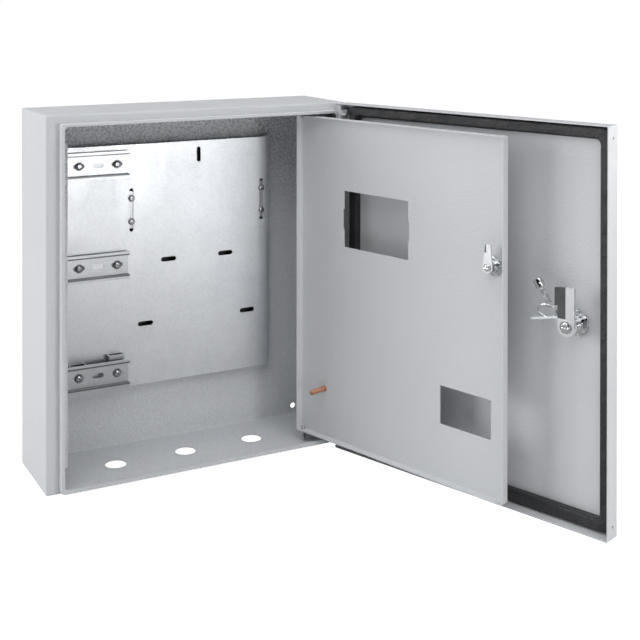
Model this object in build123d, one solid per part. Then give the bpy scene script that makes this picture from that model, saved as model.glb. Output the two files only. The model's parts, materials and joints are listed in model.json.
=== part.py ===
from build123d import *
import math
import os

# A wall-mounted meter cabinet of folded sheet steel with two doors hinged on the right.
# Lengths are in mm. Every function places its piece by distances from the cabinet itself:
# x from its left side, y from the plane of its front flanges towards the wall, z from its
# underside, with both doors closed. placed() then opens the doors and moves the origin to
# the middle of the four wall-fixing holes, on the wall plane.

# Cabinet shell, one folded and welded sheet
width = 400.0
height = 445.0
depth = 113.0
sheet = 1.2
bend = 2.2

# Front flanges and the raised sealing lip round the opening
side_flange = 15.5
top_flange = 10.0
bottom_flange = 3.0
lip_depth = 12.0
side_return = 4.0
top_return = 3.0
bottom_return = 5.0
lip_corner = 4.0

# Cable entries in the floor and fixing holes in the back wall
entry_radius = 13.25
entry_pitch = 93.0
entry_shift = -4.0
entry_setback = 54.0
fixing_radius = 3.5
fixing_inset_x = 20.0
fixing_inset_z = 12.0

# Outer door, a tray with a narrower flange on the hinge side
outer_open = 109.03
outer_reveal = 4.0
outer_tray = 22.0
outer_gap = 1.0
outer_below = 1.5
outer_above = 1.0
hinge_flange = 13.0
vent_radius = 1.6
vent_inset = 14.0

# Outer hinges: arms on the cabinet, ears on the door, headed pins through both
outer_pivot_x = width - outer_reveal - 4.0
outer_pivot_y = -17.5
arm_inset = 12.5
arm_thick = 3.0
arm_neck = 4.4
eye_radius = 3.2
pin_radius = 2.0
pin_head_radius = 2.6
running_gap = 0.06
face_gap = 0.3
ear_thick = 2.5
notch_half = 3.3
notch_floor = 0.15

# Foamed gasket on the outer door
gasket_inset = 3.5
gasket_width = 13.5
gasket_height = 9.5
gasket_hinge_edge = 16.5
gasket_corner = 10.0

# Inner door, a shallower tray on two pivot pins
inner_open = 107.02
inner_width = 330.3
inner_over = 16.5
inner_tray = 10.5
inner_face = 12.0
inner_bottom = 14.5
inner_pivot_inset = 53.0
inner_pivot_edge = 7.0
inner_pivot_y = 16.5

inner_pivot_x = width - inner_pivot_inset

# Windows of the inner door, measured from its hinge side and the cabinet floor
meter_window_start = 77.4
meter_window_width = 106.6
meter_window_bottom = 265.4
meter_window_height = 71.6
notch_depth = 1.8
notch_height = 25.6
breaker_window_start = 233.4
breaker_window_width = 74.0
breaker_window_bottom = 80.4
breaker_window_height = 45.6
window_corner = 0.8

# Earth stud, seal hole and stop dimple of the inner door
stud_start = 42.7
stud_up = 76.5
stud_radius = 3.0
stud_length = 25.0
seal_hole_start = 322.5
seal_hole_radius = 1.8
free_hole_up = 141.0
free_hole_radius = 0.9
corner_cut = 3.5

# Inner pivots
pivot_sleeve_radius = 2.75
pivot_washer_radius = 5.0
pivot_washer_thick = 1.0
pivot_head_radius = 2.7
pivot_head_height = 3.0

# Hinge post and closing strip, folded strips beside the inner door
post_gap = 3.0
post_face = 16.0
post_return = 14.0
foot_gap = 3.5
foot_height = 10.0
foot_hole_radius = 0.9
foot_hole_up = 3.2
strip_face = 23.3
strip_reach = 33.0
strip_wall_flange = 15.0
strip_bottom = 20.0
strip_over = 37.0

# Mounting plate, folded back to the wall on both sides
plate_left = 36.5
plate_right_gap = 63.5
plate_bottom = 80.6
plate_top_gap = 52.4
plate_stand = 15.0
plate_thick = 1.5
plate_right = width - plate_right_gap
plate_top = height - plate_top_gap
plate_face = depth - plate_stand
hanging_slot_up = 20.0
hanging_slot_width = 5.5
hanging_slot_below = 18.0
device_slot_length = 21.0
device_slot_height = 6.0
upper_slot_up = 158.9
upper_slot_offset = 40.5
lower_slot_up = 78.2
lower_slot_offset = 72.5
slot_shift = -1.0

# Mounting rails, 35 mm top-hat section
rail_height = 35.0
rail_depth = 7.5
rail_sheet = 1.0
rail_channel = 27.0
rail_length = 85.0
rail_left = 49.0
rail_slot_length = 15.0
rail_slot_height = 6.2
rail_slot_pitch = 25.0
rail_slot_first = 20.0
rail_top_below = 23.8
rail_middle_up = 158.7
rail_bottom_up = 23.1
rail_bottom_shift = -3.5
rail_bottom_stand = 10.5
spacer_width = 21.0
spacer_height = 30.0
spacer_wall = 1.5
spacer_drops = (15.0, 7.5)
rail_top_centre = plate_top - rail_top_below
rail_middle_centre = plate_bottom + rail_middle_up
rail_bottom_centre = plate_bottom + rail_bottom_up

# Meter clamp bars behind two upright slots of the plate
meter_from_right = 105.0
bar_offset = 92.8
bar_slot_width = 5.2
bar_slot_up = 199.4
bar_slot_height = 56.0
bar_width = 12.0
bar_thick = 2.0
bar_height = 48.0
bar_screw_pitch = 30.0
meter_centre = plate_right - meter_from_right
bar_slot_bottom = plate_bottom + bar_slot_up

# Screws
screw_head_radius = 4.4
screw_head_height = 2.7
screw_shank_radius = 2.2
screw_recess_reach = 1.9
screw_recess_width = 0.9
screw_recess_depth = 1.5

# Outer lock: sleeve through the door, hexagon nut, core, cam and cap screw
outer_lock_inset = 48.0
outer_lock_up = 222.5
lock_rim_radius = 14.0
lock_rim_thick = 3.0
lock_sleeve_radius = 9.0
lock_core_radius = 6.0
lock_nut_flats = 27.0
lock_nut_thick = 5.0
lock_sleeve_end = 1.5
cam_face = 2.5
cam_thick = 2.5
cam_half_width = 10.5
cam_reach = 43.5
cam_wing_start = 23.5
cam_wing_angle = 30.0
cam_square = 7.0
cap_radius = 7.0
cap_thick = 1.2
cap_head_radius = 4.6
cap_head_thick = 1.8

# Inner lock, a smaller one of the same build
inner_lock_start = 312.0
inner_lock_up = 280.0
inner_rim_radius = 11.0
inner_rim_thick = 2.5
inner_sleeve_radius = 7.5
inner_core_radius = 4.5
inner_nut_flats = 20.0
inner_sleeve_end = 24.5
inner_cam_face = 25.3
inner_cam_thick = 1.7
inner_cam_half_width = 5.2
inner_cam_reach = 25.5
inner_cam_square = 5.5
inner_cap_radius = 4.6

# Key and the tie that holds it on the lock sleeve
bow_centre_x = 25.9
bow_centre_z = 12.2
bow_length = 26.7
bow_height = 17.0
bow_bar = 3.2
bow_thick = 3.0
socket_radius = 5.5
socket_length = 10.0
socket_bore = 4.0
socket_x = 33.8
socket_z = 37.5
socket_tilt = 32.7
shank_width = 5.0
tie_thick = 1.1
tie_width = 2.5
tail_end_x = 46.4
tail_end_z = 1.0

os.makedirs("parts", exist_ok=True)


def block(x0, x1, y0, y1, z0, z1):
    middle = Pos((x0 + x1) / 2, (y0 + y1) / 2, (z0 + z1) / 2)
    return middle * Box(x1 - x0, y1 - y0, z1 - z0)


def rounded(x0, x1, y0, y1, z0, z1, radius):
    solid = block(x0, x1, y0, y1, z0, z1)
    return fillet(solid.edges().filter_by(Axis.Y), radius)


def rod_y(x, z, radius, y0, y1):
    return Pos(x, (y0 + y1) / 2, z) * Rot(90, 0, 0) * Cylinder(radius, y1 - y0)


def rod_z(x, y, radius, z0, z1):
    return Pos(x, y, (z0 + z1) / 2) * Cylinder(radius, z1 - z0)


def hexagon_y(x, z, flats, y0, y1):
    points = RegularPolygon(flats / math.sqrt(3), 6, rotation=30)
    return Pos(x, y1, z) * extrude(Rot(90, 0, 0) * points, y1 - y0)


def slot_y(x, z, across, up, y0, y1):
    radius = min(across, up) / 2
    dx = across / 2 - radius
    dz = up / 2 - radius
    if dx > dz:
        middle = block(x - dx, x + dx, y0, y1, z - radius, z + radius)
    else:
        middle = block(x - radius, x + radius, y0, y1, z - dz, z + dz)
    return middle + rod_y(x - dx, z - dz, radius, y0, y1) + rod_y(x + dx, z + dz, radius, y0, y1)


def dome_screw(x, z, seat, tip):
    head = rod_y(x, z, screw_head_radius, seat - screw_head_height, seat)
    head = fillet(head.edges().sort_by(Axis.Y)[0], screw_head_height * 0.85)
    top = seat - screw_head_height
    far = screw_recess_reach
    half = screw_recess_width / 2
    recess = block(x - far, x + far, top - 1, top + screw_recess_depth, z - half, z + half)
    recess += block(x - half, x + half, top - 1, top + screw_recess_depth, z - far, z + far)
    return head - recess + rod_y(x, z, screw_shank_radius, seat, tip)


def placed(shape, door=None):
    if door == "outer":
        pivot = Axis((outer_pivot_x, outer_pivot_y, 0), (0, 0, 1))
        shape = shape.rotate(pivot, outer_open)
    if door == "inner":
        pivot = Axis((inner_pivot_x, inner_pivot_y, 0), (0, 0, 1))
        shape = shape.rotate(pivot, inner_open)
    return Pos(-width / 2, -depth, -height / 2) * shape


def save(name, shapes, door=None):
    solids = []
    for shape in shapes:
        solids += placed(shape, door).solids()
    piece = solids[0] if len(solids) == 1 else Compound(solids)
    export_step(piece, "parts/" + name + ".step")


# The opening's lip: outer wall, then a return that faces the door's gasket
lip_left = side_flange
lip_right = width - side_flange
lip_bottom = bottom_flange
lip_top = height - top_flange


def sealing_lip():
    wall = rounded(lip_left, lip_right, -lip_depth, sheet, lip_bottom, lip_top, lip_corner)
    hollow = rounded(
        lip_left + sheet, lip_right - sheet, sheet - lip_depth, 2 * sheet,
        lip_bottom + sheet, lip_top - sheet, lip_corner - sheet,
    )
    mouth = rounded(
        lip_left + side_return, lip_right - side_return, -lip_depth - 1, 1,
        lip_bottom + bottom_return, lip_top - top_return, lip_corner,
    )
    return wall - hollow - mouth


def cabinet_shell():
    body = block(0, width, 0, depth, 0, height)
    body = fillet(body.edges(), bend)
    hollow = block(sheet, width - sheet, sheet, depth - sheet, sheet, height - sheet)
    hollow = fillet(hollow.edges(), bend - sheet)
    opening = rounded(
        lip_left + sheet, lip_right - sheet, -1, sheet + 0.5,
        lip_bottom + sheet, lip_top - sheet, lip_corner - sheet,
    )
    shell = body - hollow - opening + sealing_lip()
    for step in (-1, 0, 1):
        x = width / 2 + entry_shift + step * entry_pitch
        shell -= rod_z(x, entry_setback, entry_radius, -1, sheet + 1)
    for x in (fixing_inset_x, width - fixing_inset_x):
        for z in (fixing_inset_z, height - fixing_inset_z):
            shell -= rod_y(x, z, fixing_radius, depth - sheet - 1, depth + 1)
    return shell


# Outer hinges
arm_upper = height - arm_inset
arm_lower = arm_inset


def hinge_arm(z):
    half = arm_thick / 2
    foot = block(width - 14, width - 2, -2, 0, z - 8, z + 8)
    neck = block(outer_pivot_x - arm_neck / 2, outer_pivot_x + arm_neck / 2, outer_pivot_y, -2, z - half, z + half)
    eye = rod_z(outer_pivot_x, outer_pivot_y, eye_radius, z - half, z + half)
    bore = rod_z(outer_pivot_x, outer_pivot_y, pin_radius + running_gap, z - 5, z + 5)
    return foot + neck + eye - bore


def hinge_ear(z):
    low = z + arm_thick / 2 + face_gap
    plate = block(
        outer_pivot_x - 4.5, width - outer_reveal - sheet,
        sheet - outer_gap - outer_tray, outer_pivot_y + 4, low, low + ear_thick,
    )
    bent = block(
        door_right - sheet - bend, door_right, door_front, door_front + bend,
        low - 1, low + ear_thick + 1,
    )
    return plate - bent - rod_z(outer_pivot_x, outer_pivot_y, pin_radius, low - 1, low + ear_thick + 1)


def hinge_pin(z):
    seat = z + arm_thick / 2 + face_gap + ear_thick
    pin = rod_z(outer_pivot_x, outer_pivot_y, pin_radius, z - arm_thick / 2 - 1, seat)
    head = rod_z(outer_pivot_x, outer_pivot_y, pin_head_radius, seat, seat + 1.2)
    return pin + fillet(head.edges().sort_by(Axis.Z)[-1], 0.5)


# Outer door tray
door_left = outer_reveal
door_right = width - outer_reveal
door_back = -outer_gap
door_front = -outer_gap - outer_tray
door_bottom = -outer_below
door_top = height + outer_above
lock_x = door_left + outer_lock_inset


def outer_door():
    tray = block(door_left, door_right, door_front, door_back, door_bottom, door_top)
    tray = fillet(tray.edges().filter_by(Axis.Y) + tray.faces().sort_by(Axis.Y)[0].edges(), bend)
    hollow = block(
        door_left + sheet, door_right - sheet, door_front + sheet, door_back + 5,
        door_bottom + sheet, door_top - sheet,
    )
    hollow = fillet(hollow.edges().filter_by(Axis.Y) + hollow.faces().sort_by(Axis.Y)[0].edges(), bend - sheet)
    tray -= hollow
    tray -= block(
        door_right - 2 * sheet, door_right + 1, door_front + hinge_flange, door_back + 1,
        door_bottom + bend + 0.8, door_top - bend - 0.8,
    )
    for z in (arm_upper, arm_lower):
        tray -= block(
            door_right - 2 * sheet, door_right + 1, door_front + sheet + notch_floor, door_back + 1,
            z - notch_half, z + notch_half,
        )
    for z in (door_bottom + vent_inset, door_top - vent_inset):
        middle = (door_front + door_back) / 2
        vent = Pos(door_left, middle, z) * Rot(0, 90, 0) * Cylinder(vent_radius, 6)
        tray -= vent
    return tray - rod_y(lock_x, outer_lock_up, lock_sleeve_radius, door_front - 1, door_front + sheet + 1)


def door_gasket():
    low = door_front + sheet
    high = low + gasket_height
    right = width - gasket_hinge_edge
    ring = rounded(
        door_left + gasket_inset, right, low, high,
        door_bottom + gasket_inset, door_top - gasket_inset, gasket_corner,
    )
    inner = rounded(
        door_left + gasket_inset + gasket_width, right - gasket_width + 1, low - 1, high + 1,
        door_bottom + gasket_inset + gasket_width, door_top - gasket_inset - gasket_width, gasket_corner - 4,
    )
    ring -= inner
    return fillet(ring.faces().sort_by(Axis.Y)[-1].edges(), 3.0)


# Locks: the same build in two sizes
def lock_body(x, z, face, rim, rim_thick, sleeve, end, core):
    flange = rod_y(x, z, rim, face - rim_thick, face)
    flange = fillet(flange.edges().sort_by(Axis.Y)[0], 1.0)
    body = flange + rod_y(x, z, sleeve, face, end)
    return body - rod_y(x, z, core + running_gap, face - rim_thick - 1, end + 1)


def lock_nut(x, z, seat, flats, sleeve):
    nut = hexagon_y(x, z, flats, seat, seat + lock_nut_thick)
    bevel = Pos(x, seat + lock_nut_thick / 2, z) * Rot(90, 0, 0) * Cylinder(flats * 0.56, lock_nut_thick)
    bevel = chamfer(bevel.edges().sort_by(Axis.Y)[-1], 1.2)
    return (nut & bevel) - rod_y(x, z, sleeve, seat - 1, seat + lock_nut_thick + 1)


def lock_core(x, z, front, radius, shoulder, square, tip):
    core = rod_y(x, z, radius, front, shoulder)
    core += block(x - square / 2, x + square / 2, shoulder, tip, z - square / 2, z + square / 2)
    core -= rod_y(x, z, radius * 0.72, front - 1, front + 9)
    bit = rod_y(x, z, radius * 0.25, front + 1, front + 9.5)
    bit += block(x - radius * 0.55, x + radius * 0.55, front + 2, front + 9.5, z - 0.7, z + 0.7)
    return core + bit


def cap_screw(x, z, seat, washer, head):
    screw = rod_y(x, z, washer, seat, seat + cap_thick)
    top = rod_y(x, z, head, seat + cap_thick, seat + cap_thick + cap_head_thick)
    top = fillet(top.edges().sort_by(Axis.Y)[-1], 0.7)
    slot = block(x - head - 1, x + head + 1, seat + cap_thick + cap_head_thick - 0.8, seat + 9, z - 0.5, z + 0.5)
    return screw + (top - slot)


def outer_cam():
    x = lock_x
    z = outer_lock_up
    front = cam_face
    back = cam_face + cam_thick
    base = rod_y(x, z, cam_half_width, front, back)
    base += block(x - cam_half_width, x + cam_half_width, front, back, z, z + cam_wing_start)
    base += block(x - cam_half_width, x, front, back, z, z + cam_reach)
    rise = math.tan(math.radians(cam_wing_angle)) * cam_half_width
    with BuildPart() as wing:
        with BuildSketch(Plane.XY.offset(z + cam_wing_start)):
            with BuildLine():
                Polyline(
                    (x, front), (x + cam_half_width, front + rise), (x + cam_half_width, back + rise),
                    (x, back), (x, front),
                )
            make_face()
        extrude(amount=cam_reach - cam_wing_start)
    half = cam_square / 2
    square = block(x - half, x + half, front - 1, back + 1, z - half, z + half)
    cam = base + wing.part - square
    return cam


def inner_cam():
    x = inner_width_x(inner_lock_start)
    z = inner_lock_up
    front = inner_cam_face
    back = inner_cam_face + inner_cam_thick
    half = inner_cam_half_width
    with BuildPart() as blade:
        with BuildSketch(Plane.XZ.offset(-back)):
            with BuildLine():
                Polyline(
                    (x - half - 1.5, z), (x - half + 1, z + inner_cam_reach), (x + half - 2.5, z + inner_cam_reach),
                    (x + half + 1.5, z), (x - half - 1.5, z),
                )
            make_face()
        extrude(amount=inner_cam_thick)
    plate = blade.part + rod_y(x, z, half + 1.5, front, back)
    square = inner_cam_square / 2
    return plate - block(x - square, x + square, front - 1, back + 1, z - square, z + square)


# Inner door
def inner_width_x(start):
    return inner_pivot_x + inner_pivot_edge - start


inner_left = inner_width_x(inner_width)
inner_right = inner_width_x(0)
inner_top = height - inner_over


def low_free_edge(tray):
    return tray.edges().filter_by(Axis.Y).sort_by(lambda edge: edge.center().X + edge.center().Z)[0]


def cut_corner(tray, size):
    return chamfer(low_free_edge(tray), size)


def square_edges(tray):
    return tray.edges().filter_by(Axis.Y).sort_by(lambda edge: edge.center().X + edge.center().Z)[2:]


def inner_door():
    tray = block(inner_left, inner_right, inner_face, inner_face + inner_tray, inner_bottom, inner_top)
    tray = cut_corner(tray, corner_cut)
    tray = fillet(square_edges(tray) + tray.faces().sort_by(Axis.Y)[0].edges(), bend)
    hollow = block(
        inner_left + sheet, inner_right - sheet, inner_face + sheet, inner_face + inner_tray + 5,
        inner_bottom + sheet, inner_top - sheet,
    )
    hollow = cut_corner(hollow, corner_cut - 0.6 * sheet)
    hollow = fillet(square_edges(hollow) + hollow.faces().sort_by(Axis.Y)[0].edges(), bend - sheet)
    tray -= hollow
    x1 = inner_width_x(meter_window_start)
    x0 = x1 - meter_window_width
    z0 = meter_window_bottom
    z1 = z0 + meter_window_height
    tray -= rounded(x0, x1, inner_face - 1, inner_face + 3, z0, z1, window_corner)
    middle = (z0 + z1) / 2
    tray -= block(
        x0 - notch_depth, x1 + notch_depth, inner_face - 1, inner_face + 3,
        middle - notch_height / 2, middle + notch_height / 2,
    )
    x1 = inner_width_x(breaker_window_start)
    x0 = x1 - breaker_window_width
    z0 = breaker_window_bottom
    tray -= rounded(x0, x1, inner_face - 1, inner_face + 3, z0, z0 + breaker_window_height, window_corner)
    x = inner_width_x(inner_lock_start)
    tray -= rod_y(x, inner_lock_up, inner_sleeve_radius, inner_face - 1, inner_face + 3)
    bore = pin_radius + running_gap
    tray -= rod_z(inner_pivot_x, inner_pivot_y, bore, inner_bottom - 1, inner_bottom + 3)
    tray -= rod_z(inner_pivot_x, inner_pivot_y, bore, inner_top - 3, inner_top + 1)
    x = inner_width_x(seal_hole_start)
    y = inner_face + inner_tray - 3.2
    tray -= rod_z(x, y, seal_hole_radius, inner_bottom - 1, inner_bottom + 3)
    y = inner_face + inner_tray - 3.9
    tray -= Pos(inner_left, y, free_hole_up) * Rot(0, 90, 0) * Cylinder(free_hole_radius, 6)
    return tray


def earth_stud():
    x = inner_width_x(stud_start)
    seat = inner_face + sheet
    stud = rod_y(x, stud_up, stud_radius, seat, seat + stud_length)
    stud = chamfer(stud.edges().sort_by(Axis.Y)[-1], 0.6)
    return stud + rod_y(x, stud_up, stud_radius + 0.8, seat, seat + 0.8)


# Inner pivots: headed pins in sleeves on the cabinet's floor and roof
def pivot_parts(wall, inward, flange):
    under = flange - inward * face_gap
    washer_far = under - inward * pivot_washer_thick
    over = flange + inward * (sheet + face_gap)
    x = inner_pivot_x
    y = inner_pivot_y
    sleeve = rod_between(x, y, pivot_sleeve_radius, wall, washer_far) - rod_between(x, y, pin_radius, wall, under)
    washer = rod_between(x, y, pivot_washer_radius, washer_far, under) - rod_between(x, y, pin_radius, wall, over)
    shank = rod_between(x, y, pin_radius, wall, over)
    head = rod_between(x, y, pivot_head_radius, over, over + inward * pivot_head_height)
    crown = head.edges().sort_by(Axis.Z)[-1 if inward > 0 else 0]
    head = fillet(crown, pivot_head_height * 0.7)
    return sleeve, washer, shank + head


def rod_between(x, y, radius, a, b):
    return rod_z(x, y, radius, min(a, b), max(a, b))


# Strips beside the inner door
def hinge_post():
    left = inner_right + post_gap
    right = width - sheet
    low = bend
    high = height - bend
    web = block(left, right, post_face, post_face + sheet, low, high)
    back = block(left, left + sheet, post_face, post_face + post_return, low, high)
    post = web + back
    foot_left = inner_pivot_x + foot_gap
    post += block(foot_left, left + sheet, post_face, post_face + sheet, low, low + foot_height)
    post += block(foot_left, left + sheet, post_face, post_face + sheet, high - foot_height, high)
    for z in (low + foot_hole_up, high - foot_hole_up):
        post -= rod_y(foot_left + 2, z, foot_hole_radius, post_face - 1, post_face + 3)
    side = block(right - sheet, right, post_face, post_face + post_return, low, high)
    return post + side


def closing_strip():
    face = block(sheet, strip_reach, strip_face, strip_face + sheet, strip_bottom, height - strip_over)
    wall = block(sheet, 2 * sheet, strip_face, strip_face + strip_wall_flange, strip_bottom, height - strip_over)
    return face + wall


# Mounting plate and what is fixed on it
def rail_slot_xs(left):
    return [left + rail_slot_first + step * rail_slot_pitch for step in range(3)]


def mounting_plate():
    plate = block(plate_left, plate_right, plate_face, plate_face + plate_thick, plate_bottom, plate_top)
    wall = depth - sheet
    plate += block(plate_left, plate_left + plate_thick, plate_face, wall, plate_bottom, plate_top)
    plate += block(plate_right - plate_thick, plate_right, plate_face, wall, plate_bottom, plate_top)
    near = plate_face - 1
    far = plate_face + plate_thick + 1
    middle = meter_centre + slot_shift
    z = plate_top - hanging_slot_below
    plate -= slot_y(meter_centre + 1, z, hanging_slot_width, hanging_slot_up, near, far)
    for up, offset in ((upper_slot_up, upper_slot_offset), (lower_slot_up, lower_slot_offset)):
        for x in (middle - offset, middle + offset):
            plate -= slot_y(x, plate_bottom + up, device_slot_length, device_slot_height, near, far)
    for x in (meter_centre - bar_offset, meter_centre + bar_offset):
        z = bar_slot_bottom + bar_slot_height / 2
        plate -= slot_y(x, z, bar_slot_width, bar_slot_height, near, far)
    for z in (rail_top_centre, rail_middle_centre):
        for x in rail_slot_xs(rail_left)[::2]:
            plate -= rod_y(x, z, screw_shank_radius, near, far)
    return plate


def mounting_rail(left, front, centre):
    right = left + rail_length
    half = rail_height / 2
    channel = rail_channel / 2
    back = front + rail_depth
    rail = block(left, right, front, front + rail_sheet, centre - half, centre + half)
    rail -= block(left - 1, right + 1, front - 1, back, centre - channel, centre + channel)
    rail += block(left, right, back - rail_sheet, back, centre - channel, centre + channel)
    for side in (-1, 1):
        a = centre + side * channel
        b = centre + side * (channel - rail_sheet)
        rail += block(left, right, front, back, min(a, b), max(a, b))
    for x in rail_slot_xs(left):
        rail -= slot_y(x, centre, rail_slot_length, rail_slot_height, back - 2, back + 1)
    return rail


rail_front = plate_face - rail_depth
low_rail_front = rail_front - rail_bottom_stand
low_rail_left = rail_left + rail_bottom_shift


def rail_spacer(x, low):
    left = x - spacer_width / 2
    right = x + spacer_width / 2
    front = plate_face - rail_bottom_stand
    tube = block(left, right, front, plate_face, low, low + spacer_height)
    tube = fillet(tube.edges().filter_by(Axis.Z), 1.2)
    t = spacer_wall
    tube -= block(left + t, right - t, front + t, plate_face - t, low - 1, low + spacer_height + 1)
    return tube - rod_y(x, rail_bottom_centre, screw_shank_radius, front - 1, front + 3)


def rail_screws():
    screws = []
    seat = plate_face - rail_sheet
    for z in (rail_top_centre, rail_middle_centre):
        for x in rail_slot_xs(rail_left)[::2]:
            screws.append(dome_screw(x, z, seat, plate_face + plate_thick + 2))
    for x in rail_slot_xs(low_rail_left)[::2]:
        screws.append(dome_screw(x, rail_bottom_centre, seat - rail_bottom_stand, seat - rail_bottom_stand + 5))
    return screws


bar_middle = bar_slot_bottom + bar_slot_height / 2


def bar_screw_zs():
    return (bar_middle - bar_screw_pitch / 2, bar_middle + bar_screw_pitch / 2)


def clamp_bar(x):
    near = plate_face + plate_thick
    half = bar_width / 2
    bar = block(x - half, x + half, near, near + bar_thick, bar_middle - bar_height / 2, bar_middle + bar_height / 2)
    for z in bar_screw_zs():
        bar -= rod_y(x, z, screw_shank_radius, near - 1, near + bar_thick + 1)
    return bar


def clamp_bar_screws():
    screws = []
    for x in (meter_centre - bar_offset, meter_centre + bar_offset):
        for z in bar_screw_zs():
            screws.append(dome_screw(x, z, plate_face, plate_face + plate_thick + bar_thick + 1))
    return screws


# Key on its tie
def lock_key():
    x = lock_x + bow_centre_x
    z = outer_lock_up + bow_centre_z
    high = cam_face - 0.8
    low = high - bow_thick
    middle = (low + high) / 2
    with BuildPart() as bow:
        with BuildSketch(Plane.XZ.offset(-high)):
            with Locations((x, z)):
                Ellipse(bow_length / 2, bow_height / 2)
                Ellipse(bow_length / 2 - bow_bar, bow_height / 2 - bow_bar, mode=Mode.SUBTRACT)
        extrude(amount=bow_thick)
    ring = fillet(bow.part.edges(), 0.8)
    sx = lock_x + socket_x
    sz = outer_lock_up + socket_z
    lean = Rot(0, socket_tilt, 0)
    start = bow_height / 2 - 1.2
    length = math.hypot(sx - x, sz - z)
    shank = Pos(sx, middle, sz) * lean * Pos(0, 0, -(length - start) / 2) * Box(shank_width, bow_thick, length - start)
    socket = Pos(sx, middle, sz) * lean * Pos(0, 0, socket_length / 2) * Cylinder(socket_radius, socket_length)
    socket = fillet(socket.edges().filter_by(GeomType.CIRCLE), 0.8)
    bore = Pos(sx, middle, sz) * lean * Pos(0, 0, socket_length - 3) * Cylinder(socket_bore, 8)
    return ring + shank + socket - bore


def key_tie():
    x = lock_x
    z = outer_lock_up
    end = lock_sleeve_end
    loop = rod_y(x, z, lock_sleeve_radius + tie_thick, end - tie_width, end)
    loop -= rod_y(x, z, lock_sleeve_radius, end - tie_width - 1, end + 1)
    high = cam_face - 0.8
    head = block(x + 7.0, x + 12.2, end - tie_width, high + 0.3, z + 6.2, z + 9.6)
    start_x = x + cam_half_width + 0.5
    start_z = z + 8.6
    end_x = x + tail_end_x
    end_z = z + tail_end_z
    run = math.hypot(end_x - start_x, end_z - start_z)
    slope = math.degrees(math.atan2(start_z - end_z, end_x - start_x))
    strip = Box(run, tie_thick, 2.3)
    strip = fillet(strip.edges().filter_by(Axis.Y), 0.9)
    strip = Pos((start_x + end_x) / 2, high + tie_thick / 2, (start_z + end_z) / 2) * Rot(0, slope, 0) * strip
    return loop + head + strip


# Save every piece as its own node
save("cabinet_shell", [cabinet_shell()])
save("hinge_post", [hinge_post()])
save("closing_strip", [closing_strip()])
save("mounting_plate", [mounting_plate()])
save("din_rail_top", [mounting_rail(rail_left, rail_front, rail_top_centre)])
save("din_rail_middle", [mounting_rail(rail_left, rail_front, rail_middle_centre)])
save("din_rail_bottom", [mounting_rail(low_rail_left, low_rail_front, rail_bottom_centre)])
save("rail_spacers", [
    rail_spacer(rail_slot_xs(low_rail_left)[0], rail_bottom_centre - spacer_drops[0]),
    rail_spacer(rail_slot_xs(low_rail_left)[2], rail_bottom_centre - spacer_drops[1]),
])
save("rail_screws", rail_screws())
save("meter_clamp_bar_left", [clamp_bar(meter_centre - bar_offset)])
save("meter_clamp_bar_right", [clamp_bar(meter_centre + bar_offset)])
save("clamp_bar_screws", clamp_bar_screws())
save("outer_hinge_arm_upper", [hinge_arm(arm_upper)])
save("outer_hinge_arm_lower", [hinge_arm(arm_lower)])

lower_sleeve, lower_washer, lower_pin = pivot_parts(sheet, 1, inner_bottom)
upper_sleeve, upper_washer, upper_pin = pivot_parts(height - sheet, -1, inner_top)
save("inner_pivot_pin_lower", [lower_pin])
save("inner_pivot_pin_upper", [upper_pin])
save("inner_pivot_sleeve_lower", [lower_sleeve])
save("inner_pivot_sleeve_upper", [upper_sleeve])
save("inner_pivot_washers", [lower_washer, upper_washer])

save("outer_door", [outer_door()], "outer")
save("door_gasket", [door_gasket()], "outer")
save("outer_hinge_ear_upper", [hinge_ear(arm_upper)], "outer")
save("outer_hinge_ear_lower", [hinge_ear(arm_lower)], "outer")
save("outer_hinge_pin_upper", [hinge_pin(arm_upper)], "outer")
save("outer_hinge_pin_lower", [hinge_pin(arm_lower)], "outer")
save("outer_lock_body", [lock_body(
    lock_x, outer_lock_up, door_front, lock_rim_radius, lock_rim_thick,
    lock_sleeve_radius, lock_sleeve_end, lock_core_radius,
)], "outer")
save("outer_lock_nut", [lock_nut(
    lock_x, outer_lock_up, door_front + sheet, lock_nut_flats, lock_sleeve_radius,
)], "outer")
save("outer_lock_core", [lock_core(
    lock_x, outer_lock_up, door_front - lock_rim_thick + 0.5, lock_core_radius,
    cam_face, cam_square, cam_face + cam_thick,
)], "outer")
save("outer_lock_cam", [outer_cam()], "outer")
save("outer_cam_screw", [cap_screw(
    lock_x, outer_lock_up, cam_face + cam_thick, cap_radius, cap_head_radius,
)], "outer")
save("lock_key", [lock_key()], "outer")
save("key_tie", [key_tie()], "outer")

inner_lock_x = inner_width_x(inner_lock_start)
save("inner_door", [inner_door()], "inner")
save("earth_stud", [earth_stud()], "inner")
save("inner_lock_body", [lock_body(
    inner_lock_x, inner_lock_up, inner_face, inner_rim_radius, inner_rim_thick,
    inner_sleeve_radius, inner_sleeve_end, inner_core_radius,
)], "inner")
save("inner_lock_nut", [lock_nut(
    inner_lock_x, inner_lock_up, inner_face + sheet, inner_nut_flats, inner_sleeve_radius,
)], "inner")
save("inner_lock_core", [lock_core(
    inner_lock_x, inner_lock_up, inner_face - inner_rim_thick + 0.5, inner_core_radius,
    inner_cam_face, inner_cam_square, inner_cam_face + inner_cam_thick,
)], "inner")
save("inner_lock_cam", [inner_cam()], "inner")
save("inner_cam_screw", [cap_screw(
    inner_lock_x, inner_lock_up, inner_cam_face + inner_cam_thick, inner_cap_radius, 3.0,
)], "inner")
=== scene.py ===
import json
import math

import bpy
from mathutils import Matrix, Vector


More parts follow.
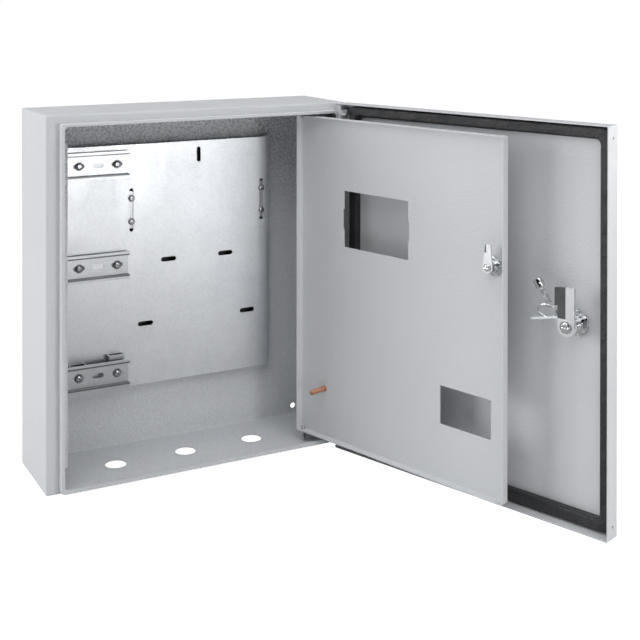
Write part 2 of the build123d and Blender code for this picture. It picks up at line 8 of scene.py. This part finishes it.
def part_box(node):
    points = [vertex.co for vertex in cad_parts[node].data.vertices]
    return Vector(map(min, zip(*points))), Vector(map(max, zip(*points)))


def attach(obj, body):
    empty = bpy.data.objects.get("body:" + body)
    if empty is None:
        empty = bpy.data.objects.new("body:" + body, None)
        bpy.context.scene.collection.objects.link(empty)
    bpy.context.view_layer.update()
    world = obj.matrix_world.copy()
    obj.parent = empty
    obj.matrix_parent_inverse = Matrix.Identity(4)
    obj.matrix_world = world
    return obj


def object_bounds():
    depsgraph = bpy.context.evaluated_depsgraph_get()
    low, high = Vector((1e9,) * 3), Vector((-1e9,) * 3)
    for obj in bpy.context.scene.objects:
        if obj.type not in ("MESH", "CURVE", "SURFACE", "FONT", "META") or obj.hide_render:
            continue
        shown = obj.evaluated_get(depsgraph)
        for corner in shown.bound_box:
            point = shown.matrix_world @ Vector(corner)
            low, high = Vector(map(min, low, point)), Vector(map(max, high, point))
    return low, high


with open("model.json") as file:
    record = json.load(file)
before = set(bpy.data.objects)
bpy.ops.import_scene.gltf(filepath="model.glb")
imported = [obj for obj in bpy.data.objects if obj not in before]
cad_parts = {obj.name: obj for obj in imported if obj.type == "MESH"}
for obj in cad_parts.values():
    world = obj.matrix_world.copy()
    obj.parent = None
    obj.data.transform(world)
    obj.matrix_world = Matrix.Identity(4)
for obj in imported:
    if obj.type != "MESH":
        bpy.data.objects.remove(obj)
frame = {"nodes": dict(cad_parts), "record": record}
cad_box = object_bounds()


# Case, hinge post, closing strip and hinge arms: cold-rolled sheet steel, folded and spot welded,
# then sprayed with a light grey polyester powder that bakes to a fine orange-peel skin.
def shader_group(name, inputs, outputs):
    group = bpy.data.node_groups.new(name, "ShaderNodeTree")
    for label, value in inputs:
        socket = group.interface.new_socket(label, in_out="INPUT", socket_type="NodeSocketFloat")
        socket.default_value = value
    for label in outputs:
        group.interface.new_socket(label, in_out="OUTPUT", socket_type="NodeSocketFloat")
    return group, add(group, "NodeGroupInput"), add(group, "NodeGroupOutput")


def add(tree, kind, **settings):
    node = tree.nodes.new(kind)
    for name, value in settings.items():
        setattr(node, name, value)
    return node


def feed(tree, node, socket, source):
    if isinstance(source, (int, float, tuple)):
        node.inputs[socket].default_value = source
    else:
        tree.links.new(source, node.inputs[socket])


def math_node(tree, operation, first, second=0.0):
    node = add(tree, "ShaderNodeMath", operation=operation)
    feed(tree, node, 0, first)
    feed(tree, node, 1, second)
    return node.outputs[0]


def product(tree, first, *others):
    for other in others:
        first = math_node(tree, "MULTIPLY", first, other)
    return first


def stretch(tree, value, low, high, to_low=0.0, to_high=1.0):
    node = add(tree, "ShaderNodeMapRange")
    feed(tree, node, "Value", value)
    feed(tree, node, "From Min", low)
    feed(tree, node, "From Max", high)
    feed(tree, node, "To Min", to_low)
    feed(tree, node, "To Max", to_high)
    return node.outputs[0]


def object_place(tree):
    return add(tree, "ShaderNodeTexCoord").outputs["Object"]


def split(tree, place):
    node = add(tree, "ShaderNodeSeparateXYZ")
    feed(tree, node, 0, place)
    return node.outputs


def scaled(tree, place, factors):
    node = add(tree, "ShaderNodeMapping")
    feed(tree, node, "Vector", place)
    node.inputs["Scale"].default_value = factors
    return node.outputs[0]


def noise(tree, place, per_metre, detail=2.0, roughness=0.5):
    node = add(tree, "ShaderNodeTexNoise")
    feed(tree, node, "Vector", place)
    feed(tree, node, "Scale", per_metre)
    feed(tree, node, "Detail", detail)
    feed(tree, node, "Roughness", roughness)
    return node.outputs[0]


def cells(tree, place, per_metre):
    node = add(tree, "ShaderNodeTexVoronoi", feature="F1")
    feed(tree, node, "Vector", place)
    feed(tree, node, "Scale", per_metre)
    return node.outputs


def blend(tree, factor, first, second):
    node = add(tree, "ShaderNodeMix", data_type="RGBA")
    feed(tree, node, "Factor", factor)
    for socket, colour in (("A", first), ("B", second)):
        feed(tree, node, socket, (*colour, 1.0) if isinstance(colour, tuple) else colour)
    return node.outputs["Result"]


# Sprayed skin: peel is the bake's dimpled height, mottle the slow change of film thickness.
skin, skin_in, skin_out = shader_group(
    "sprayed_skin", [("Dimples per metre", 360.0)], ["Peel", "Mottle"])
finer, finer_height = 2.6, 0.45
place = object_place(skin)
dimples = skin_in.outputs["Dimples per metre"]
coarse = noise(skin, place, dimples, detail=1.0)
fine = noise(skin, place, product(skin, dimples, finer), detail=1.0)
feed(skin, skin_out, "Peel", math_node(skin, "ADD", coarse, product(skin, fine, finer_height)))
feed(skin, skin_out, "Mottle", noise(skin, place, per_metre=9.0, detail=3.0))

# Handling: soft upright wipes, on the powder and on most of the metals.
handling, handling_in, handling_out = shader_group("handling", [("Size", 26.0)], ["Wipe"])
drawn_up = (1.0, 1.0, 0.25)
place = scaled(handling, object_place(handling), drawn_up)
wipe = noise(handling, place, handling_in.outputs["Size"], detail=4.0, roughness=0.6)
feed(handling, handling_out, "Wipe", stretch(handling, wipe, low=0.35, high=0.7))


def placed_group(tree, group, **values):
    node = add(tree, "ShaderNodeGroup", node_tree=group)
    for label, value in values.items():
        node.inputs[label.replace("_", " ")].default_value = value
    return node.outputs


def finish(name, metallic):
    material = bpy.data.materials.new(name)
    material.use_nodes = True
    shader = material.node_tree.nodes["Principled BSDF"]
    shader.inputs["Metallic"].default_value = metallic
    return material, material.node_tree, shader


def roughen(tree, shader, mask, at_low, at_high, low=0.0, high=1.0):
    feed(tree, shader, "Roughness", stretch(tree, mask, low, high, at_low, at_high))


def relief(tree, shader, height, depth, strength):
    bump = add(tree, "ShaderNodeBump")
    bump.inputs["Distance"].default_value = depth
    bump.inputs["Strength"].default_value = strength
    feed(tree, bump, "Height", height)
    feed(tree, shader, "Normal", bump.outputs[0])


def dress(material, *nodes):
    for node in nodes:
        mesh = frame["nodes"][node].data
        mesh.materials.clear()
        mesh.materials.append(material)


def sprayed(name):
    thin_film, thick_film = (0.628, 0.645, 0.670), (0.664, 0.680, 0.704)
    material, tree, shader = finish(name, metallic=0.0)
    shader.inputs["Specular IOR Level"].default_value = 0.45
    coat = placed_group(tree, skin)
    worn = placed_group(tree, handling)
    roughen(tree, shader, worn["Wipe"], at_low=0.50, at_high=0.40)
    return material, tree, shader, blend(tree, coat["Mottle"], thin_film, thick_film), coat["Peel"]


def baked(tree, shader, film, peel):
    feed(tree, shader, "Base Color", film)
    relief(tree, shader, peel, depth=0.0006, strength=0.6)


powder, tree, shader, film, peel = sprayed("grey_powder_coat")
baked(tree, shader, film, peel)
dress(powder, "outer_hinge_arm_upper", "outer_hinge_arm_lower")


# Inside the case the coat is painted lighter, as painted light, and shows beads with dark pits,
# coarsest and darkest under the roof, their grain deepened by painted shade; the wall behind the
# plate's slots is painted dark as painted shade. Both match the photograph's light and say nothing
# of the real coat.
# Fault: wall_reach carries the darkening through the wall, so the back's outside shows it as well.
def within(tree, parts, low, high):
    mask = 1.0
    for letter, first, last in zip("XYZ", low, high):
        above = math_node(tree, "GREATER_THAN", parts[letter], first)
        below = math_node(tree, "LESS_THAN", parts[letter], last)
        mask = product(tree, above, below, mask)
    return mask


half_sheet, lip_depth = 0.0006, 0.0126
shell_low, shell_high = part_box("cabinet_shell")
case_low = (shell_low[0] + half_sheet, shell_low[1] + lip_depth, shell_low[2] + half_sheet)
case_high = tuple(edge - half_sheet for edge in shell_high)
plate_margin, plate_gap, wall_reach = 0.010, 0.002, 0.004
plate_low, plate_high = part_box("mounting_plate")
behind_low = (plate_low[0] + plate_margin, plate_low[1] + plate_gap, plate_low[2] + plate_margin)
behind_high = (plate_high[0] - plate_margin, plate_high[1] + wall_reach, plate_high[2] - plate_margin)
# Painted light lifts the film inside the case; the pits' dark colour is grain deepened by painted shade,
# and the wall behind the plate takes painted shade.
inside_painted_light_film, pit_and_shade_film = (0.705, 0.722, 0.748), (0.24, 0.248, 0.262)
painted_shade_film = (0.055, 0.057, 0.060)
bead_height = 14.0
case_powder, tree, shader, film, peel = sprayed("grey_powder_coat_case")
place = object_place(tree)
parts = split(tree, place)
inside = within(tree, parts, case_low, case_high)
hidden = within(tree, parts, behind_low, behind_high)
beads = math_node(tree, "SUBTRACT", 1.0, cells(tree, place, per_metre=310.0)["Distance"])
# Painted shade: the pits grow darker and denser towards the roof.
roof_shade_rise = stretch(tree, parts["Z"], low=0.05, high=0.21, to_low=0.10, to_high=0.52)
coarseness_and_shade = product(tree, roof_shade_rise, inside)
pits = product(tree, stretch(tree, beads, low=0.62, high=0.30), coarseness_and_shade)
film = blend(tree, inside, film, inside_painted_light_film)
film = blend(tree, pits, film, pit_and_shade_film)
film = blend(tree, hidden, film, painted_shade_film)
peel = math_node(tree, "ADD", peel, product(tree, beads, coarseness_and_shade, bead_height))
baked(tree, shader, film, peel)
dress(case_powder, "cabinet_shell", "hinge_post", "closing_strip")


# Mounting plate: zinc-coated sheet, folded back to the wall on both sides. The bright coat freezes
# in fine pale grains. Painted shadow darkens it behind the rail slots, and painted shade darkens it
# towards its left edge, where the photograph has shade.
def fade(tree, distance, full, gone):
    return stretch(tree, distance, full, gone, to_low=1.0, to_high=0.0)


# Painted shadows for the rails: dark lines along the bends, rings round the screws and pockets behind the
# slots.
bend_from_middle = 0.0133
bend_edge, ring_edge = (0.0008, 0.0014), (0.0052, 0.0062)
slot_end, slot_side = (0.0080, 0.0088), (0.0036, 0.0042)
rail_shadows, rail_shadows_in, rail_shadows_out = shader_group(
    "rail_painted_shadows",
    [("Rail X", 0.0), ("Rail Z", 0.0), ("Screw Left", -0.0225), ("Screw Right", 0.0275)],
    ["Bend", "Ring", "Pocket"],
)
parts = split(rail_shadows, object_place(rail_shadows))
along = math_node(rail_shadows, "SUBTRACT", parts["X"], rail_shadows_in.outputs["Rail X"])
rise = math_node(rail_shadows, "SUBTRACT", parts["Z"], rail_shadows_in.outputs["Rail Z"])
rise = math_node(rail_shadows, "ABSOLUTE", rise)
off_bend = math_node(rail_shadows, "SUBTRACT", rise, bend_from_middle)
off_bend = math_node(rail_shadows, "ABSOLUTE", off_bend)
rings, pockets = [], []
for side in ("Screw Left", "Screw Right"):
    aside = math_node(rail_shadows, "SUBTRACT", along, rail_shadows_in.outputs[side])
    aside = math_node(rail_shadows, "ABSOLUTE", aside)
    squares = math_node(rail_shadows, "ADD", product(rail_shadows, aside, aside), product(rail_shadows, rise, rise))
    rings.append(fade(rail_shadows, math_node(rail_shadows, "SQRT", squares), *ring_edge))
    pockets.append(product(rail_shadows, fade(rail_shadows, aside, *slot_end), fade(rail_shadows, rise, *slot_side)))
feed(rail_shadows, rail_shadows_out, "Bend", fade(rail_shadows, off_bend, *bend_edge))
feed(rail_shadows, rail_shadows_out, "Ring", math_node(rail_shadows, "MAXIMUM", *rings))
feed(rail_shadows, rail_shadows_out, "Pocket", math_node(rail_shadows, "MAXIMUM", *pockets))


def mount(name):
    return [row for row in frame["record"]["mounts"] if row["name"] == name][0]


def rail_shadow_mask(tree, label):
    total = 0.0
    for name in ("rail_top", "rail_middle", "rail_bottom"):
        x, _, z = mount(name)["pos_m"]
        rail_shadow = placed_group(tree, rail_shadows, Rail_X=x, Rail_Z=z)[label]
        total = math_node(tree, "MAXIMUM", rail_shadow, total)
    return total


grain_dark, grain_pale = (0.79, 0.812, 0.84), (0.89, 0.912, 0.94)
left_painted_shade, pocket_painted_shadow = (0.30, 0.308, 0.318), (0.06, 0.062, 0.066)
grain_share, painted_pocket_share = 0.6, 0.85
zinc, tree, shader = finish("bright_zinc_sheet", metallic=1.0)
place = object_place(tree)
grain = cells(tree, place, per_metre=420.0)["Color"]
cloud = noise(tree, place, per_metre=30.0, detail=3.0)
tone = math_node(tree, "ADD", product(tree, grain, grain_share), cloud)
pale = blend(tree, stretch(tree, tone, low=0.3, high=1.1), grain_dark, grain_pale)
# Painted shade: the plate darkens towards its left edge.
painted_shade_leftwards = stretch(tree, split(tree, place)["X"], low=-0.16, high=0.02, to_low=0.27, to_high=0.0)
pale = blend(tree, painted_shade_leftwards, pale, left_painted_shade)
# Painted shadow behind the rail slots.
painted_pocket_shadow = product(tree, rail_shadow_mask(tree, "Pocket"), painted_pocket_share)
feed(tree, shader, "Base Color", blend(tree, painted_pocket_shadow, pale, pocket_painted_shadow))
wiped = placed_group(tree, handling, Size=40.0)["Wipe"]
roughen(tree, shader, math_node(tree, "ADD", wiped, grain), at_low=0.44, at_high=0.30, high=2.0)
height = math_node(tree, "ADD", grain, noise(tree, place, per_metre=900.0))
relief(tree, shader, height, depth=0.0002, strength=0.35)
dress(zinc, "mounting_plate")


# Rails, spacers and clamp bars: rolled or cut from zinc-plated strip and screwed to the plate, with
# fine streaks along the rails. The rails' bends and the rings round their screws carry painted
# shadow, because the photograph has hard shadows there.
strip_dark, strip_pale = (0.55, 0.567, 0.588), (0.69, 0.709, 0.733)
shadow_tone, shadow_share = (0.10, 0.103, 0.108), 0.86
drawn_along = (0.06, 1.0, 1.0)
strip, tree, shader = finish("rolled_zinc_strip", metallic=1.0)
place = object_place(tree)
streaks = noise(tree, scaled(tree, place, drawn_along), per_metre=1400.0, detail=3.0)
cloud = noise(tree, place, per_metre=700.0)
tone = stretch(tree, math_node(tree, "ADD", streaks, cloud), low=0.7, high=1.3)
rubbed = blend(tree, tone, strip_dark, strip_pale)
# Painted shadow along the rails' bends and round their screws.
shadow = math_node(tree, "MAXIMUM", rail_shadow_mask(tree, "Bend"), rail_shadow_mask(tree, "Ring"))
shadow = product(tree, shadow, shadow_share)
feed(tree, shader, "Base Color", blend(tree, shadow, rubbed, shadow_tone))
roughen(tree, shader, tone, at_low=0.36, at_high=0.28)
relief(tree, shader, streaks, depth=0.0001, strength=0.4)
dress(
    strip, "din_rail_top", "din_rail_middle", "din_rail_bottom", "rail_spacers",
    "meter_clamp_bar_left", "meter_clamp_bar_right",
)


# Screws, hinge pins, pivot sleeves and washers: cold-headed, turned or stamped steel, barrel-plated
# with zinc, with fine tool marks under a slightly milky passivation.
plated_dark, plated_pale = (0.40, 0.412, 0.43), (0.62, 0.634, 0.655)
plated, tree, shader = finish("plated_fasteners", metallic=1.0)
place = object_place(tree)
milk = noise(tree, place, per_metre=260.0)
feed(tree, shader, "Base Color", blend(tree, milk, plated_dark, plated_pale))
wiped = placed_group(tree, handling, Size=160.0)["Wipe"]
roughen(tree, shader, wiped, at_low=0.16, at_high=0.28)
relief(tree, shader, noise(tree, place, per_metre=1400.0), depth=0.0001, strength=0.3)
dress(
    plated, "rail_screws", "clamp_bar_screws", "outer_hinge_pin_upper", "outer_hinge_pin_lower",
    "inner_pivot_pin_lower", "inner_pivot_pin_upper", "inner_pivot_sleeve_lower",
    "inner_pivot_sleeve_upper", "inner_pivot_washers",
)


# Doors and hinge ears: shallow trays folded from the same sheet as the case, in the same powder,
# and hung on pins at the right. The ears are hidden in the photograph and taken to be welded on.
dress(powder, "outer_door", "inner_door", "outer_hinge_ear_upper", "outer_hinge_ear_lower")


# Door gasket: two-part polyurethane, foamed straight onto the outer door's sheet. It has a closed
# skin with fine pores and shallow waves.
foam_dark, foam_pale = (0.012, 0.012, 0.014), (0.030, 0.031, 0.034)
wave_height = 6.0
foam, tree, shader = finish("black_foam", metallic=0.0)
place = object_place(tree)
cloud = noise(tree, place, per_metre=35.0, detail=3.0)
feed(tree, shader, "Base Color", blend(tree, cloud, foam_dark, foam_pale))
pores = cells(tree, place, per_metre=700.0)["Distance"]
roughen(tree, shader, pores, at_low=0.5, at_high=0.28, high=0.6)
waves = product(tree, noise(tree, place, per_metre=55.0), wave_height)
relief(tree, shader, math_node(tree, "ADD", waves, pores), depth=0.0006, strength=0.7)
dress(foam, "door_gasket")


# Lock bodies, nuts, cores, cap screws and key: zinc die castings, tumbled and chromed. The nuts
# clamp the lock bodies to the doors.
chrome_dark, chrome_pale = (0.56, 0.575, 0.595), (0.95, 0.965, 0.985)
chrome, tree, shader = finish("chromed_casting", metallic=1.0)
place = object_place(tree)
cloud = stretch(tree, noise(tree, place, per_metre=230.0), low=0.40, high=0.60)
feed(tree, shader, "Base Color", blend(tree, cloud, chrome_dark, chrome_pale))
wiped = placed_group(tree, handling, Size=120.0)["Wipe"]
roughen(tree, shader, wiped, at_low=0.07, at_high=0.16)
relief(tree, shader, noise(tree, place, per_metre=200.0, detail=1.0), depth=0.0008, strength=0.7)
dress(
    chrome, "outer_lock_body", "outer_lock_nut", "outer_lock_core", "outer_cam_screw", "lock_key",
    "inner_lock_body", "inner_lock_nut", "inner_lock_core", "inner_cam_screw",
)


# Cams: blanked from zinc-plated strip, pressed, and held to the lock cores by the cap screws. The
# dark wing is a painted reflection; with the pale blade it matches the photograph's reflections, not
# two platings.
def joint(name):
    found = [row for row in frame["record"]["behaviour"]["joints"] if row["name"] == name][0]
    return Vector(found["pos_m"]), Vector(found["axis"])


def cam_plating_and_reflection(name, turn, wing_aside, wing_up):
    blade_dark, blade_pale = (0.70, 0.715, 0.74), (0.88, 0.895, 0.92)
    painted_wing_dark, painted_wing_pale = (0.12, 0.125, 0.135), (0.26, 0.265, 0.275)
    soft_edge = 0.0003
    middle, axis = joint(turn)
    across = Vector((axis.y, -axis.x, 0.0)).normalized()
    start = across.dot(middle) + wing_aside
    foot = middle.z + wing_up
    material, tree, shader = finish(name, metallic=0.75)
    place = object_place(tree)
    side = add(tree, "ShaderNodeVectorMath", operation="DOT_PRODUCT")
    feed(tree, side, 0, place)
    side.inputs[1].default_value = across
    beside = stretch(tree, side.outputs["Value"], start - soft_edge, start + soft_edge)
    above = stretch(tree, split(tree, place)["Z"], foot - soft_edge, foot + soft_edge)
    # Painted reflection: the wing is painted dark.
    painted_wing = product(tree, beside, above)
    rub = noise(tree, place, per_metre=420.0, detail=3.0)
    pale = blend(tree, rub, blade_dark, blade_pale)
    painted_wing_tone = blend(tree, rub, painted_wing_dark, painted_wing_pale)
    feed(tree, shader, "Base Color", blend(tree, painted_wing, pale, painted_wing_tone))
    roughen(tree, shader, painted_wing, at_low=0.34, at_high=0.16)
    relief(tree, shader, rub, depth=0.0002, strength=0.5)
    return material


outer_plating_and_reflection = cam_plating_and_reflection("outer_cam_plating_and_reflection", "outer_lock_turn", wing_aside=0.0004, wing_up=0.0085)
inner_plating_and_reflection = cam_plating_and_reflection("inner_cam_plating_and_reflection", "inner_lock_turn", wing_aside=0.0015, wing_up=0.0165)
dress(outer_plating_and_reflection, "outer_lock_cam")
dress(inner_plating_and_reflection, "inner_lock_cam")


# Threads of both lock sleeves: a fine-pitch ridge that winds round each chromed sleeve and stands
# just out of the casting. The nuts run on it.
helix_steps, crest_sides = 40, 6
threads = bpy.data.node_groups.new("thread_turns", "GeometryNodeTree")
threads.interface.new_socket("Geometry", in_out="OUTPUT", socket_type="NodeSocketGeometry")
thread_inputs = {}
for label in ("Radius", "Pitch", "Length", "Crest", "Finish"):
    kind = "NodeSocketMaterial" if label == "Finish" else "NodeSocketFloat"
    socket = threads.interface.new_socket(label, in_out="INPUT", socket_type=kind)
    thread_inputs[label] = socket.identifier
sizes = add(threads, "NodeGroupInput").outputs
turns = math_node(threads, "DIVIDE", sizes["Length"], sizes["Pitch"])
helix = add(threads, "GeometryNodeCurveSpiral")
helix.inputs["Resolution"].default_value = helix_steps
feed(threads, helix, "Rotations", turns)
feed(threads, helix, "Start Radius", sizes["Radius"])
feed(threads, helix, "End Radius", sizes["Radius"])
feed(threads, helix, "Height", sizes["Length"])
upright = add(threads, "GeometryNodeSetCurveNormal", mode="Z_UP")
feed(threads, upright, "Curve", helix.outputs[0])
crest = add(threads, "GeometryNodeCurvePrimitiveCircle")
crest.inputs["Resolution"].default_value = crest_sides
feed(threads, crest, "Radius", sizes["Crest"])
ridge = add(threads, "GeometryNodeCurveToMesh")
ridge.inputs["Fill Caps"].default_value = True
feed(threads, ridge, "Curve", upright.outputs[0])
feed(threads, ridge, "Profile Curve", crest.outputs[0])
real = add(threads, "GeometryNodeRealizeInstances")
feed(threads, real, 0, ridge.outputs[0])
coated = add(threads, "GeometryNodeSetMaterial")
feed(threads, coated, "Geometry", real.outputs[0])
feed(threads, coated, "Material", sizes["Finish"])
feed(threads, add(threads, "NodeGroupOutput"), 0, coated.outputs[0])


def cut_thread(name, body, slot, foot, axis, **values):
    carrier = bpy.data.objects.new(name + "_maker", bpy.data.meshes.new(name + "_maker"))
    bpy.context.collection.objects.link(carrier)
    maker = carrier.modifiers.new("thread", "NODES")
    maker.node_group = threads
    for label, value in values.items():
        maker[thread_inputs[label]] = value
    wound = carrier.evaluated_get(bpy.context.evaluated_depsgraph_get())
    mesh = bpy.data.meshes.new_from_object(wound)
    bpy.data.objects.remove(carrier)
    mesh.transform(Matrix.Translation(foot) @ axis.to_track_quat("Z", "Y").to_matrix().to_4x4())
    piece = bpy.data.objects.new(name, mesh)
    bpy.context.collection.objects.link(piece)
    for face in mesh.polygons:
        face.use_smooth = True
    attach(piece, body)


outer_foot, inner_foot = 0.0204, 0.0077
middle, axis = joint("outer_lock_turn")
cut_thread(
    "outer_lock_thread", "outer_door_leaf", "chromed_zinc", middle - axis * outer_foot, axis,
    Radius=0.0089, Pitch=0.0015, Length=0.0150, Crest=0.0005, Finish=chrome,
)
middle, axis = joint("inner_lock_turn")
cut_thread(
    "inner_lock_thread", "inner_door_leaf", "chromed_zinc", middle - axis * inner_foot, axis,
    Radius=0.0074, Pitch=0.00125, Length=0.0058, Crest=0.00042, Finish=chrome,
)


# Earth stud of the inner door: copper-flashed steel with a rolled thread, capacitor-welded to the
# sheet. With the door open it points to the left.
copper_dark, copper_pale = (0.62, 0.28, 0.16), (0.86, 0.50, 0.36)
copper, tree, shader = finish("copper_flash", metallic=1.0)
place = object_place(tree)
tarnish = noise(tree, place, per_metre=400.0, detail=3.0)
feed(tree, shader, "Base Color", blend(tree, tarnish, copper_dark, copper_pale))
dulled = noise(tree, place, per_metre=700.0)
roughen(tree, shader, dulled, at_low=0.28, at_high=0.45, low=0.3, high=0.7)
relief(tree, shader, noise(tree, place, per_metre=1500.0, detail=1.0), depth=0.0001, strength=0.3)
dress(copper, "earth_stud")
stud_foot = 0.0105
stud = mount("earth_stud")
middle, axis = Vector(stud["pos_m"]), Vector(stud["axis"])
cut_thread(
    "earth_stud_thread", "inner_door_leaf", "copper_plated_stud", middle - axis * stud_foot, axis,
    Radius=0.0029, Pitch=0.0010, Length=0.0215, Crest=0.00032, Finish=copper,
)


# Key tie: a natural nylon strap, moulded, and looped round the outer lock's sleeve to hold the key.
# Its fine teeth aren't modelled; the relief is only the skin of the mould.
nylon_dark, nylon_pale = (0.84, 0.85, 0.86), (0.93, 0.94, 0.95)
nylon, tree, shader = finish("natural_nylon", metallic=0.0)
shader.inputs["Subsurface Weight"].default_value = 0.15
place = object_place(tree)
cloud = noise(tree, place, per_metre=200.0)
feed(tree, shader, "Base Color", blend(tree, cloud, nylon_dark, nylon_pale))
handled = noise(tree, place, per_metre=500.0)
roughen(tree, shader, handled, at_low=0.35, at_high=0.5, low=0.3, high=0.7)
relief(tree, shader, noise(tree, place, per_metre=1200.0, detail=1.0), depth=0.0001, strength=0.4)
dress(nylon, "key_tie")


# Studio: a pale floor just under the cabinet, lit to the camera so that it is white and duller in
# reflections, a white surround, and soft lights on both sides, in front, above and behind.
floor_reach, floor_drop = 30.0, 0.0006
floor_seen, floor_in_gloss = (0.80, 0.80, 0.80), (0.34, 0.34, 0.34)
left, right = -floor_reach, floor_reach
level = cad_box[0][2] - floor_drop
corners = [(left, left, level), (right, left, level), (right, right, level), (left, right, level)]
floor_mesh = bpy.data.meshes.new("studio_floor")
floor_mesh.from_pydata(corners, [], [(0, 1, 2, 3)])
floor = bpy.data.objects.new("studio_floor", floor_mesh)
bpy.context.collection.objects.link(floor)
pale, tree, shader = finish("pale_floor", metallic=0.0)
ray = add(tree, "ShaderNodeLightPath").outputs
feed(tree, shader, "Base Color", blend(tree, ray["Is Glossy Ray"], floor_seen, floor_in_gloss))
shader.inputs["Roughness"].default_value = 0.9
shader.inputs["Specular IOR Level"].default_value = 0.1
shader.inputs["Emission Color"].default_value = (1.0, 1.0, 1.0, 1.0)
feed(tree, shader, "Emission Strength", stretch(tree, ray["Is Camera Ray"], low=0.0, high=1.0))
floor_mesh.materials.append(pale)

surround_light = 0.015
world = bpy.data.worlds.new("studio_surround")
bpy.context.scene.world = world
world.use_nodes = True
sky = world.node_tree
surround = sky.nodes["Background"]
surround.inputs["Color"].default_value = (1.0, 1.0, 1.0, 1.0)
seen = add(sky, "ShaderNodeLightPath").outputs["Is Camera Ray"]
feed(sky, surround, "Strength", stretch(sky, seen, low=0.0, high=1.0, to_low=surround_light))


def soft_light(name, place, size, power, aim=(0.0, -0.1, 0.0)):
    lamp = bpy.data.lights.new(name, "AREA")
    lamp.shape = "RECTANGLE"
    lamp.size, lamp.size_y = size
    lamp.energy = power
    light = bpy.data.objects.new(name, lamp)
    light.location = place
    light.rotation_euler = (Vector(aim) - Vector(place)).to_track_quat("-Z", "Y").to_euler()
    bpy.context.collection.objects.link(light)


soft_light("left_behind", place=(-2.2, 0.6, 0.35), size=(1.4, 1.4), power=27.0)
soft_light("left_far_behind", place=(-1.7, 1.3, 0.5), size=(1.4, 1.4), power=8.5)
soft_light("left_upper", place=(-1.6, 0.3, 1.4), size=(1.2, 1.2), power=3.5)
soft_light("front_upper_left", place=(-1.3, -1.3, 1.7), size=(1.4, 1.4), power=11.5)
soft_light("front_upper", place=(0.0, -1.9, 1.7), size=(1.4, 1.4), power=10.0)
soft_light("front_low", place=(0.3, -2.2, 0.05), size=(1.6, 0.5), power=1.5)
soft_light("front_card", place=(0.95, -1.9, -0.02), size=(0.9, 0.3), power=1.2, aim=(0.0, -0.1, 0.1))
soft_light("front_card_middle", place=(0.42, -1.9, 0.09), size=(0.4, 0.4), power=3.6, aim=(0.05, 0.0, 0.1))
soft_light("right", place=(2.4, -0.3, 0.4), size=(1.4, 1.4), power=47.0)
soft_light("overhead", place=(0.0, -0.3, 2.3), size=(1.6, 1.6), power=28.0)
soft_light("behind_upper", place=(0.0, 1.2, 1.8), size=(1.6, 1.4), power=3.0)


# Camera: where the photograph was taken from, solved from the edges of the case and doors. Its
# upright edges don't converge, so the camera looks almost level and its frame is shifted down.
image_side, sensor = 640.0, 36.0
focal_pixels = 1177.69
centre_x, centre_y = 305.44, 4.06
yaw, pitch, roll = 0.4820, 0.0069, 0.0008
stand = (-0.56694, -1.46643, 0.36233)
ahead = Vector((math.sin(yaw) * math.cos(pitch), math.cos(yaw) * math.cos(pitch), -math.sin(pitch)))
across = Vector((math.cos(yaw), -math.sin(yaw), 0.0))
upward = across.cross(ahead)
tilt = Matrix.Rotation(-roll, 3, ahead)
turn = Matrix((tilt @ across, tilt @ upward, -ahead)).transposed()
camera_data = bpy.data.cameras.new("camera")
camera_data.sensor_width = sensor
camera_data.lens = focal_pixels / image_side * sensor
camera_data.shift_x = (image_side / 2 - centre_x) / image_side
camera_data.shift_y = (centre_y - image_side / 2) / image_side
camera_data.clip_start = 0.05
camera = bpy.data.objects.new("camera", camera_data)
camera.matrix_world = Matrix.Translation(stand) @ turn.to_4x4()
bpy.context.collection.objects.link(camera)
bpy.context.scene.camera = camera

bpy.context.scene.view_settings.view_transform = "Standard"
